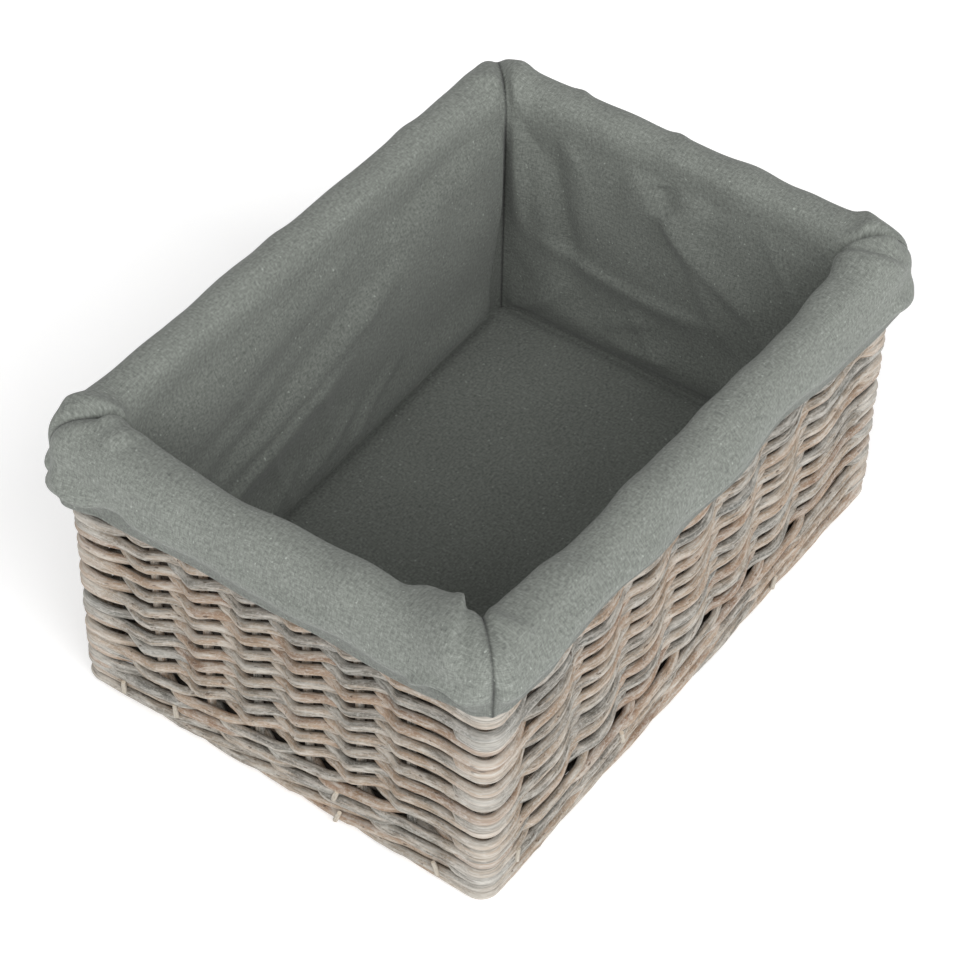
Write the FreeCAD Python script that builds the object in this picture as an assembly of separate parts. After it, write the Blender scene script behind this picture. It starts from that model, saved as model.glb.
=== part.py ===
"""Rectangular wicker log basket with a lift-out cloth liner.

The basket is stake-and-strand work: willow stakes and corner posts stand round a woven base,
a foot of plain rods holds their ends, a three-rod wale locks them, paired rods make the
sides, a second wale and a rolled border finish the top. The liner is sewn from a floor and
four side panels, which turn over the border and hang outside it as a cuff.
Frame: +X along the length, +Z up, origin under the middle of the basket on its resting plane.
All sizes are in millimetres.
"""
import FreeCAD, Part
import math
import os

Vector = FreeCAD.Vector

# ---- driving dimensions ---------------------------------------------------------------
STAKE_HALF_LENGTH = 211.0     # stake plane of the two ends, from the middle
STAKE_HALF_WIDTH = 147.0      # stake plane of the front and back, from the middle
ROD_RADIUS = 2.8              # weaving rods
STAKE_RADIUS = 3.0
POST_RADIUS = 5.0
CLEARANCE = 0.3               # air between a rod and what it passes
LONG_SIDE_STAKES = 7
LONG_SIDE_SPACING = 49.5
SHORT_SIDE_STAKES = 6
SHORT_SIDE_SPACING = 38.0

FIRST_ROW_Z = 2.4             # lower than a rod's radius, so that the foot is worn flat
ROW_PITCH = 6.0
FOOT_ROWS = 3
LOWER_WALE_ROWS = 4
SIDE_WEAVE_ROWS = 24
UPPER_WALE_ROWS = 3

CORNER_INSET = 9.0            # centre of an outside corner bend, in from the stake plane
INSIDE_BEND_RADIUS = 14.0     # bend of a rod that passes inside a corner post

BASE_STICKS = 9
BASE_STICK_SPACING = 32.0
BASE_STICK_RADIUS = 3.2
BASE_WEAVER_RADIUS = 2.2
BASE_WEAVER_PITCH = 4.8
BASE_Z = 8.4
BASE_REACH_X = 196.0          # outermost base weaver, from the middle

BORDER_ROD_RADIUS = 3.0
STAKE_FOOT_Z = 2.0
STAKE_TOP_Z = 210.0
# (offset out from the stake plane, height) of the rods that make the rolled border
BORDER_RODS = [(6.5, 207.2), (12.9, 208.0), (-6.5, 207.2), (9.2, 213.8), (2.7, 213.8), (-3.8, 213.6)]

CLOTH = 2.0                   # thickness that stands for the liner's cloth and its air
LINER_WALL_OFFSET = -13.0     # outer face of the liner's inner walls, from the stake plane
LINER_FLOOR_Z = 18.0
RIM_UNDERSIDE_Z = 217.6
RIM_TOP_Z = 220.0
CUFF_INNER_OFFSET = 16.3
CUFF_OUTER_OFFSET = 18.5
CUFF_HEM_Z = 168.0

# ---- values worked out from them ------------------------------------------------------
WEAVE_OFFSET = STAKE_RADIUS + CLEARANCE + ROD_RADIUS
OUTSIDE_BEND_RADIUS = CORNER_INSET + WEAVE_OFFSET
POST_DIAGONAL = OUTSIDE_BEND_RADIUS - ROD_RADIUS - CLEARANCE - POST_RADIUS
POST_INSET = CORNER_INSET - POST_DIAGONAL / math.sqrt(2.0)
TOTAL_ROWS = FOOT_ROWS + LOWER_WALE_ROWS + SIDE_WEAVE_ROWS + UPPER_WALE_ROWS


class Side:
    """One wall: the way along it, the way out of it, and its stakes."""

    def __init__(self, name, along, outward, half, distance, stakes, spacing):
        self.name = name
        self.along = Vector(*along)
        self.outward = Vector(*outward)
        self.half = half
        self.distance = distance
        middle = (stakes - 1) / 2.0
        self.stake_places = [(index - middle) * spacing for index in range(stakes)]

    def point(self, along, out, height):
        return self.along * along + self.outward * (self.distance + out) + Vector(0, 0, height)


# counter-clockwise seen from above, so that each side ends where the next one starts
SIDES = [
    Side("front", (1, 0, 0), (0, -1, 0), STAKE_HALF_LENGTH, STAKE_HALF_WIDTH,
         LONG_SIDE_STAKES, LONG_SIDE_SPACING),
    Side("right", (0, 1, 0), (1, 0, 0), STAKE_HALF_WIDTH, STAKE_HALF_LENGTH,
         SHORT_SIDE_STAKES, SHORT_SIDE_SPACING),
    Side("back", (-1, 0, 0), (0, 1, 0), STAKE_HALF_LENGTH, STAKE_HALF_WIDTH,
         LONG_SIDE_STAKES, LONG_SIDE_SPACING),
    Side("left", (0, -1, 0), (-1, 0, 0), STAKE_HALF_WIDTH, STAKE_HALF_LENGTH,
         SHORT_SIDE_STAKES, SHORT_SIDE_SPACING),
]
# each corner is named for where it stands, and lies at the start of the side beside it
CORNER_NAMES = ["front_left", "front_right", "back_right", "back_left"]


def save(name, shapes):
    """Write one node, made of one or more separate solids."""
    shape = shapes[0] if len(shapes) == 1 else Part.makeCompound(shapes)
    shape.exportStep("parts/" + name + ".step")
    print(name, len(shape.Solids), "solids", round(shape.Volume), "mm3")


# ---- paths and sweeps -------------------------------------------------------------------
def swept_rod(edges, radius):
    """A round rod along joined edges."""
    path = Part.Wire(edges)
    first = edges[0]
    start = first.valueAt(first.FirstParameter)
    heading = first.tangentAt(first.FirstParameter)
    profile = Part.Wire([Part.Circle(start, heading, radius).toShape()])
    return path.makePipeShell([profile], True, False)


def weaving_edges(knots, place):
    """Edges that run level through every knot (along, out), by lines and pairs of equal arcs."""
    edges = []
    for (along_a, out_a), (along_b, out_b) in zip(knots, knots[1:]):
        run = along_b - along_a
        rise = out_b - out_a
        if abs(rise) < 1e-6:
            edges.append(Part.LineSegment(place(along_a, out_a), place(along_b, out_b)).toShape())
            continue
        way = math.copysign(1.0, rise)
        radius = (run * run + rise * rise) / (4.0 * abs(rise))
        half_turn = math.atan2(abs(rise), run)
        reach = radius * math.sin(half_turn)
        drop = radius * (1.0 - math.cos(half_turn))
        middle = place((along_a + along_b) / 2.0, (out_a + out_b) / 2.0)
        first = Part.Arc(place(along_a, out_a), place(along_a + reach, out_a + way * drop), middle)
        second = Part.Arc(middle, place(along_b - reach, out_b - way * drop), place(along_b, out_b))
        edges.append(first.toShape())
        edges.append(second.toShape())
    return edges


def bend_at_corner(out):
    """Distance of the bend's centre in from the stake plane, and the bend's radius."""
    if out > 0:
        return CORNER_INSET, CORNER_INSET + out
    return INSIDE_BEND_RADIUS - out, INSIDE_BEND_RADIUS


def side_rod(side, signs, height, radius=ROD_RADIUS):
    """A rod along one side. signs has 1 outside or -1 inside for each post and stake it passes."""
    outs = [sign * WEAVE_OFFSET for sign in signs]
    start_inset, _ = bend_at_corner(outs[0])
    end_inset, _ = bend_at_corner(outs[-1])
    places = [-side.half + start_inset] + side.stake_places + [side.half - end_inset]
    knots = list(zip(places, outs))
    return swept_rod(weaving_edges(knots, lambda along, out: side.point(along, out, height)), radius)


def straight_rod(side, out, height, radius):
    """A rod that runs straight along one side between the corner bends."""
    inset, _ = bend_at_corner(out)
    start = side.point(-side.half + inset, out, height)
    length = 2.0 * (side.half - inset)
    return Part.makeCylinder(radius, length, start, side.along)


def corner_rod(side, out, height, radius):
    """The bend of a rod round the corner where this side starts."""
    inset, bend = bend_at_corner(out)
    centre = side.point(-side.half + inset, -inset, height)
    before = side.along * -1.0            # way out of the side that ends at this corner
    diagonal = (before + side.outward).normalize()
    path = Part.Arc(centre + before * bend, centre + diagonal * bend, centre + side.outward * bend)
    return swept_rod([path.toShape()], radius)


def above_ground(shape):
    """Cut off what would lie below the resting plane."""
    reach = 2.0 * STAKE_HALF_LENGTH
    block = Part.makeBox(2 * reach, 2 * reach, reach, Vector(-reach, -reach, 0))
    return shape.common(block).Solids[0]


# ---- the order in which a row passes the uprights ------------------------------------------
def uprights_before(side_index):
    """Number of uprights between the first corner post and the one where this side starts."""
    return sum(len(side.stake_places) + 1 for side in SIDES[:side_index])


def row_sign(row, upright):
    """1 where this row passes outside the upright, -1 where it passes inside."""
    if row < FOOT_ROWS:
        return 1
    wale_below = row < FOOT_ROWS + LOWER_WALE_ROWS
    wale_above = row >= TOTAL_ROWS - UPPER_WALE_ROWS
    if wale_below or wale_above:
        return -1 if (upright + row) % 3 == 0 else 1
    return 1 if (upright + row) % 2 == 0 else -1


def row_signs_on_side(row, side_index):
    first = uprights_before(side_index)
    count = len(SIDES[side_index].stake_places) + 2
    total = sum(len(side.stake_places) + 1 for side in SIDES)
    return [row_sign(row, (first + index) % total) for index in range(count)]


def row_height(row):
    return FIRST_ROW_Z + row * ROW_PITCH


# ---- the basket ------------------------------------------------------------------------------
def make_base():
    sticks = []
    first_stick = -(BASE_STICKS - 1) / 2.0 * BASE_STICK_SPACING
    stick_places = [first_stick + index * BASE_STICK_SPACING for index in range(BASE_STICKS)]
    stick_reach = STAKE_HALF_LENGTH - STAKE_RADIUS - CLEARANCE
    for place in stick_places:
        start = Vector(-stick_reach, place, BASE_Z)
        sticks.append(Part.makeCylinder(BASE_STICK_RADIUS, 2 * stick_reach, start, Vector(1, 0, 0)))
    save("base_sticks", sticks)

    wave = BASE_STICK_RADIUS + BASE_WEAVER_RADIUS + CLEARANCE
    weaver_reach = STAKE_HALF_WIDTH - STAKE_RADIUS - CLEARANCE
    weavers = []
    count = int(2 * BASE_REACH_X / BASE_WEAVER_PITCH) + 1
    for number in range(count):
        x = (number - (count - 1) / 2.0) * BASE_WEAVER_PITCH
        outs = [wave * (1 if (number + index) % 2 == 0 else -1) for index in range(BASE_STICKS)]
        knots = [(-weaver_reach, outs[0])] + list(zip(stick_places, outs)) + [(weaver_reach, outs[-1])]
        edges = weaving_edges(knots, lambda along, out: Vector(x, along, BASE_Z + out))
        weavers.append(swept_rod(edges, BASE_WEAVER_RADIUS))
    save("base_weavers", weavers)


def make_uprights():
    length = STAKE_TOP_Z - STAKE_FOOT_Z
    for side, corner in zip(SIDES, CORNER_NAMES):
        foot = side.point(-side.half + POST_INSET, -POST_INSET, STAKE_FOOT_Z)
        save("corner_post_" + corner, [Part.makeCylinder(POST_RADIUS, length, foot)])
        stakes = []
        for place in side.stake_places:
            stakes.append(Part.makeCylinder(STAKE_RADIUS, length, side.point(place, 0, STAKE_FOOT_Z)))
        save("stakes_" + side.name, stakes)


def make_rows():
    """Every horizontal rod of the walls, side by side and corner by corner."""
    bands = [
        ("foot_border", FOOT_ROWS),
        ("lower_wale", LOWER_WALE_ROWS),
        ("side_weave", SIDE_WEAVE_ROWS),
        ("upper_wale", UPPER_WALE_ROWS),
    ]
    for side_index, side in enumerate(SIDES):
        row = 0
        for band, rows in bands:
            rods = []
            for _ in range(rows):
                rod = side_rod(side, row_signs_on_side(row, side_index), row_height(row))
                rods.append(above_ground(rod) if row == 0 else rod)
                row += 1
            save(band + "_" + side.name, rods)

        bends = []
        for row in range(TOTAL_ROWS):
            out = WEAVE_OFFSET * row_signs_on_side(row, side_index)[0]
            bend = corner_rod(side, out, row_height(row), ROD_RADIUS)
            bends.append(above_ground(bend) if row == 0 else bend)
        save("corner_weave_" + CORNER_NAMES[side_index], bends)


def make_border():
    for side, corner in zip(SIDES, CORNER_NAMES):
        rods = [straight_rod(side, out, height, BORDER_ROD_RADIUS) for out, height in BORDER_RODS]
        save("top_border_" + side.name, rods)
        bends = [corner_rod(side, out, height, BORDER_ROD_RADIUS) for out, height in BORDER_RODS]
        save("top_border_corner_" + corner, bends)


# ---- the liner -------------------------------------------------------------------------------
def mitred_panel(side, inner_out, outer_out, low, high):
    """A wall between two offsets, cut at 45 degrees where it meets its neighbours."""
    corners = []
    for out, way in ((inner_out, -1), (outer_out, -1), (outer_out, 1), (inner_out, 1)):
        corners.append(side.point(way * (side.half + out), out, low))
    outline = Part.makePolygon(corners + [corners[0]])
    return Part.Face(outline).extrude(Vector(0, 0, high - low))


def rounded_block(offset, low, high):
    """A block over the whole basket, its upright edges rounded as the cuff's corners are."""
    half_x = STAKE_HALF_LENGTH + offset
    half_y = STAKE_HALF_WIDTH + offset
    block = Part.makeBox(2 * half_x, 2 * half_y, high - low, Vector(-half_x, -half_y, low))
    upright = [edge for edge in block.Edges if abs(edge.tangentAt(edge.FirstParameter).z) > 0.5]
    return block.makeFillet(CORNER_INSET + offset, upright)


def cuff_panel(side):
    """The straight part of the cuff, between the rounded corners."""
    reach = side.half - CORNER_INSET
    corners = []
    for out, way in ((CUFF_INNER_OFFSET, -1), (CUFF_OUTER_OFFSET, -1),
                     (CUFF_OUTER_OFFSET, 1), (CUFF_INNER_OFFSET, 1)):
        corners.append(side.point(way * reach, out, CUFF_HEM_Z))
    outline = Part.makePolygon(corners + [corners[0]])
    return Part.Face(outline).extrude(Vector(0, 0, RIM_UNDERSIDE_Z - CUFF_HEM_Z))


def cuff_corner(side):
    """The quarter of a tube that joins two cuff panels where this side starts."""
    centre = side.point(-side.half + CORNER_INSET, -CORNER_INSET, CUFF_HEM_Z)
    height = RIM_UNDERSIDE_Z - CUFF_HEM_Z
    outer = Part.makeCylinder(CORNER_INSET + CUFF_OUTER_OFFSET, height, centre)
    inner = Part.makeCylinder(CORNER_INSET + CUFF_INNER_OFFSET, height, centre)
    before = side.along * -1.0
    reach = 2.0 * (CORNER_INSET + CUFF_OUTER_OFFSET)
    square = [centre, centre + before * reach, centre + (before + side.outward) * reach,
              centre + side.outward * reach, centre]
    quarter = Part.Face(Part.makePolygon(square)).extrude(Vector(0, 0, height))
    return outer.cut(inner).common(quarter).Solids[0]


def make_liner():
    inner_face = LINER_WALL_OFFSET - CLOTH
    half_x = STAKE_HALF_LENGTH + LINER_WALL_OFFSET
    half_y = STAKE_HALF_WIDTH + LINER_WALL_OFFSET
    floor = Part.makeBox(2 * half_x, 2 * half_y, CLOTH, Vector(-half_x, -half_y, LINER_FLOOR_Z))
    save("liner_floor", [floor])
    rim_outline = rounded_block(CUFF_OUTER_OFFSET, RIM_UNDERSIDE_Z, RIM_TOP_Z)
    for side, corner in zip(SIDES, CORNER_NAMES):
        wall = mitred_panel(side, inner_face, LINER_WALL_OFFSET, LINER_FLOOR_Z + CLOTH, RIM_UNDERSIDE_Z)
        save("liner_wall_" + side.name, [wall])
        rim = mitred_panel(side, inner_face, CUFF_OUTER_OFFSET, RIM_UNDERSIDE_Z, RIM_TOP_Z)
        save("liner_rim_" + side.name, [rim.common(rim_outline).Solids[0]])
        save("liner_cuff_" + side.name, [cuff_panel(side)])
        save("liner_cuff_corner_" + corner, [cuff_corner(side)])


os.makedirs("parts", exist_ok=True)
make_base()
make_uprights()
make_rows()
make_border()
make_liner()
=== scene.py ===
"""Wicker log basket with a sewn cloth liner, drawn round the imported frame. Lengths are in metres."""

import math

import bpy
import numpy as np
from mathutils import Matrix, Quaternion, Vector


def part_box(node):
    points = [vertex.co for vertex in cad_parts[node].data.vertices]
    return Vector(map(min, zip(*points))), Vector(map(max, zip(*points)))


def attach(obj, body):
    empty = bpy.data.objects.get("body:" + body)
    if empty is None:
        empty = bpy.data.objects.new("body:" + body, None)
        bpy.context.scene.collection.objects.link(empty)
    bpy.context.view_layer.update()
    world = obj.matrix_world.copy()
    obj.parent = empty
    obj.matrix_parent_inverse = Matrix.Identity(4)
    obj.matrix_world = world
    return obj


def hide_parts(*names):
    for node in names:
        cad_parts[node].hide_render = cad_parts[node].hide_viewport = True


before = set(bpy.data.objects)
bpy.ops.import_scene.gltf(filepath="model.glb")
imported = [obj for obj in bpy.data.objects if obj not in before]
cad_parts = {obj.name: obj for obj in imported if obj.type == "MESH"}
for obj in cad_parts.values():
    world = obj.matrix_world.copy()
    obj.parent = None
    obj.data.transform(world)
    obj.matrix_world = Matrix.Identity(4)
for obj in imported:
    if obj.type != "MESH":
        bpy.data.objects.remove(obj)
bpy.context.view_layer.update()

SEED = 7
MM = 0.001

# ---------------------------------------------------------------- the frame's driving dimensions

SIDE_NAMES = ("front", "right", "back", "left")
CORNER_NAMES = ("front_left", "front_right", "back_right", "back_left")


def middle(node, axis):
    """The middle of a CAD node along one axis."""
    low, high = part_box(node)
    return (low[axis] + high[axis]) / 2


HALF_LENGTH = middle("stakes_right", 0)
HALF_WIDTH = middle("stakes_back", 1)
POST_X = middle("corner_post_front_right", 0)
POST_Y = middle("corner_post_back_right", 1)
CORNER_RADIUS = HALF_LENGTH - POST_X
STAKE_COUNTS = (7, 6, 7, 6)
STAKE_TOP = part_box("stakes_front")[1].z
RIM_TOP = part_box("liner_rim_front")[1].z
FLOOR_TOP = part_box("liner_floor")[1].z

ROD = 3.3 * MM
STAKE = 3.0 * MM
POST = 5.0 * MM
WEAVE_OUT = 6.2 * MM
PAIR_RISE = 3.4 * MM
COURSE_PITCH = 12 * MM
FIRST_PAIR = 47.4 * MM
PAIR_COURSES = 12
ROD_SIDES = 10
TIGHTNESS = 1.7
BEHIND_POST = 22 * MM


# ---------------------------------------------------------------- the line of the stakes

SIDE_HALVES = (POST_X, POST_Y, POST_X, POST_Y)
ARC = CORNER_RADIUS * math.pi / 2
SIDE_STARTS = np.concatenate([[0], np.cumsum([2 * half + ARC for half in SIDE_HALVES])])
LAP = SIDE_STARTS[4]
POSTS = ((-POST_X, -POST_Y), (POST_X, -POST_Y), (POST_X, POST_Y), (-POST_X, POST_Y))


def stake_line(s):
    """Points and outward directions at lengths s along the line of stakes, counter-clockwise from the
    front's left post."""
    s = np.mod(s, LAP)
    points = np.zeros((len(s), 2))
    outward = np.zeros((len(s), 2))
    for k, half in enumerate(SIDE_HALVES):
        heading = k * math.pi / 2
        along = np.array([math.cos(heading), math.sin(heading)])
        normal = np.array([math.sin(heading), -math.cos(heading)])
        run = s - SIDE_STARTS[k]
        straight = (run >= 0) & (run < 2 * half)
        start = np.array(POSTS[k]) + normal * CORNER_RADIUS
        points[straight] = start + np.outer(run[straight], along)
        outward[straight] = normal
        bend = (run >= 2 * half) & (run < 2 * half + ARC)
        angle = heading - math.pi / 2 + (run[bend] - 2 * half) / CORNER_RADIUS
        outward[bend] = np.stack([np.cos(angle), np.sin(angle)], axis=1)
        points[bend] = np.array(POSTS[(k + 1) % 4]) + outward[bend] * CORNER_RADIUS
    return points, outward


def stake_lengths():
    """The length along the stake line of each stake, side after side."""
    places = []
    for side, (name, count) in enumerate(zip(SIDE_NAMES, STAKE_COUNTS)):
        axis = side % 2
        low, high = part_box("stakes_" + name)
        spacing = (high[axis] - low[axis] - 2 * STAKE) / (count - 1)
        for i in range(count):
            places.append(SIDE_STARTS[side] + SIDE_HALVES[side] + (i - (count - 1) / 2) * spacing)
    return np.array(places)


STAKES = stake_lengths()
STAKE_TOTAL = len(STAKES)


def stake_number(s):
    """Which stake length s is at, as a number that grows by one from stake to stake."""
    lap = np.floor(s / LAP)
    places = np.concatenate([[STAKES[-1] - LAP], STAKES, [STAKES[0] + LAP]])
    return np.interp(s - lap * LAP, places, np.arange(-1, STAKE_TOTAL + 1)) + lap * STAKE_TOTAL


def smooth_step(x):
    """0 below 0, 1 above 1, and an S between."""
    x = np.clip(x, 0, 1)
    return x * x * (3 - 2 * x)


def corner_distance(s):
    """How far each length is past the nearest corner of the basket, less than 0 before it."""
    nearest = np.full(len(s), LAP)
    for k, half in enumerate(SIDE_HALVES):
        past = np.mod(s - SIDE_STARTS[k] - 2 * half - ARC / 2 + LAP / 2, LAP) - LAP / 2
        nearest = np.where(np.abs(past) < np.abs(nearest), past, nearest)
    return nearest


# One lap of sample places: even steps along each side and finer ones round the corners. OWNERS says
# which side, 0 to 3, or corner, 4 to 7, the step after each place belongs to.
STRAIGHT_STEP = 3.2 * MM
CORNER_STEPS = 10


def sample_lap():
    """The sample places of one lap and the owner of the step after each."""
    places, owners = [], []
    for k, half in enumerate(SIDE_HALVES):
        steps = round(2 * half / STRAIGHT_STEP)
        places += [SIDE_STARTS[k] + 2 * half * i / steps for i in range(steps)]
        owners += [k] * steps
        places += [SIDE_STARTS[k] + 2 * half + ARC * i / CORNER_STEPS for i in range(CORNER_STEPS)]
        owners += [4 + (k + 1) % 4] * CORNER_STEPS
    return np.array(places), np.array(owners)


PLACES, OWNERS = sample_lap()
OWNER_NAMES = SIDE_NAMES + CORNER_NAMES


def length_at(index):
    """The length along the stake line of sample places counted on over any number of laps."""
    return PLACES[index % len(PLACES)] + LAP * (index // len(PLACES))


# ---------------------------------------------------------------- rods


class Bundle:
    """Rods that become one mesh. Each vertex keeps its place in the rod's own grain, its rod's tint, and
    its painted shading: above 0, painted shade on rods that lie behind the stakes; less than 0, painted
    paler light."""

    def __init__(self):
        self.points, self.normals, self.faces = [], [], []
        self.grain, self.tint, self.painted_shading = [], [], []
        self.count = 0

    def add(self, line, along, outward, radii, lengths, origin, tint, start_cut, end_cut, painted_shading=0.0):
        """One rod, or one stretch of it: rings of vertices about the line, with a cut end where asked."""
        first = outward - along * (outward * along).sum(1)[:, None]
        first /= np.linalg.norm(first, axis=1)[:, None]
        second = np.cross(along, first)
        turn = np.linspace(0, 2 * math.pi, ROD_SIDES, endpoint=False)
        around = first[:, None] * np.cos(turn)[:, None] + second[:, None] * np.sin(turn)[:, None]
        rings = line[:, None] + around * radii[:, None, None]
        grain = np.zeros_like(rings)
        grain[:, :, 0] = np.cos(turn) * ROD + origin[0]
        grain[:, :, 1] = np.sin(turn) * ROD + origin[1]
        grain[:, :, 2] = lengths[:, None] + origin[2]
        n = len(line)
        base = self.count
        index = base + np.arange(n * ROD_SIDES).reshape(n, ROD_SIDES)
        beside = np.roll(index, -1, axis=1)
        quads = np.stack([index[:-1], beside[:-1], beside[1:], index[1:]], axis=2)
        self.faces.append(quads.reshape(-1, 4))
        self.points.append(rings.reshape(-1, 3))
        self.normals.append(around.reshape(-1, 3))
        self.grain.append(grain.reshape(-1, 3))
        self.tint.append(np.full(n * ROD_SIDES, tint))
        self.painted_shading.append(np.repeat(np.broadcast_to(painted_shading, n), ROD_SIDES))
        self.count += n * ROD_SIDES
        if start_cut:
            self.cap(line[0], -along[0], rings[0][::-1], grain[0][::-1])
        if end_cut:
            self.cap(line[-1], along[-1], rings[-1], grain[-1])

    def cap(self, centre, way, ring, grain):
        """A cut end: the ring again, and a slightly domed middle, tinted as bare pith."""
        n = len(ring)
        middle_point = centre + way * 0.3 * MM
        self.points.append(np.concatenate([ring, [middle_point]]))
        self.normals.append(np.tile(way, (n + 1, 1)))
        self.grain.append(np.concatenate([grain, [grain.mean(0)]]))
        self.tint.append(np.full(n + 1, -1.0))
        self.painted_shading.append(np.zeros(n + 1))
        rim = self.count + np.arange(n)
        hub = np.full(n, self.count + n)
        self.faces.append(np.stack([rim, np.roll(rim, -1), hub, hub], axis=1))
        self.count += n + 1

    def make(self, name, material, body, slot, nodes):
        """The bundle's Blender object, riding on a body in place of CAD nodes."""
        points = np.concatenate(self.points)
        quads = np.concatenate(self.faces)
        three = quads[:, 2] == quads[:, 3]
        sizes = np.where(three, 3, 4)
        starts = np.concatenate([[0], np.cumsum(sizes)[:-1]])
        keep = np.ones((len(quads), 4), bool)
        keep[three, 3] = False
        mesh = bpy.data.meshes.new(name)
        mesh.vertices.add(len(points))
        mesh.vertices.foreach_set("co", points.astype(np.float32).ravel())
        mesh.loops.add(int(sizes.sum()))
        mesh.loops.foreach_set("vertex_index", quads[keep].astype(np.int32))
        mesh.polygons.add(len(quads))
        mesh.polygons.foreach_set("loop_start", starts.astype(np.int32))
        mesh.polygons.foreach_set("use_smooth", np.ones(len(quads), bool))
        mesh.update(calc_edges=True)
        mesh.normals_split_custom_set_from_vertices(np.concatenate(self.normals).astype(np.float32))
        grain = mesh.attributes.new("grain", "FLOAT_VECTOR", "POINT")
        grain.data.foreach_set("vector", np.concatenate(self.grain).astype(np.float32).ravel())
        for key, values in (("tint", self.tint), ("painted_shading", self.painted_shading)):
            attribute = mesh.attributes.new(key, "FLOAT", "POINT")
            attribute.data.foreach_set("value", np.concatenate(values).astype(np.float32))
        mesh.materials.append(material)
        piece = bpy.data.objects.new(name, mesh)
        bpy.context.scene.collection.objects.link(piece)
        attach(piece, body)
        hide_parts(*nodes)
        return piece


class Chance:
    """Seeded draws for one group of rods."""

    def __init__(self, key):
        self.draw = np.random.default_rng(SEED * 1000 + key)

    def between(self, low, high):
        return float(self.draw.uniform(low, high))

    def origin(self):
        """A place in the grain pattern that is this rod's own."""
        return self.draw.uniform(-40, 40, 3)

    def wander(self, s, size, waves, period=LAP):
        """A slow, smooth drift of about the given size that closes after one period."""
        total = np.zeros(len(s))
        for k in range(1, waves + 1):
            total += self.between(-1, 1) * np.sin(2 * math.pi * (k * s / period + self.between(0, 1)))
        return size * total / math.sqrt(waves / 3 + 1)

    def at_stakes(self, s, low, high):
        """A value drawn afresh for every stake and eased between them."""
        values = self.draw.uniform(low, high, STAKE_TOTAL)
        u = stake_number(s)
        cell = np.floor(u).astype(int)
        part = smooth_step(u - cell)
        return values[cell % STAKE_TOTAL] * (1 - part) + values[(cell + 1) % STAKE_TOTAL] * part


KNOT_SPACING = 120 * MM


def knotty(radius, lengths, chance):
    """Radii along a rod: a slow taper, an uneven skin and a few swollen knots."""
    run = lengths - lengths[0]
    total = max(run[-1], 1 * MM)
    taper = 1.1 - 0.2 * run / total
    uneven = 0.025 * np.sin(run * 2 * math.pi / (31 * MM) + chance.between(0, 6))
    uneven += 0.02 * np.sin(run * 2 * math.pi / (13 * MM) + chance.between(0, 6))
    radii = radius * (taper + uneven)
    for _ in range(int(total / KNOT_SPACING) + 1):
        place = chance.between(0, total)
        radii += radius * chance.between(0.05, 0.2) * np.exp(-(((run - place) / (2.6 * MM)) ** 2))
    return radii


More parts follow.
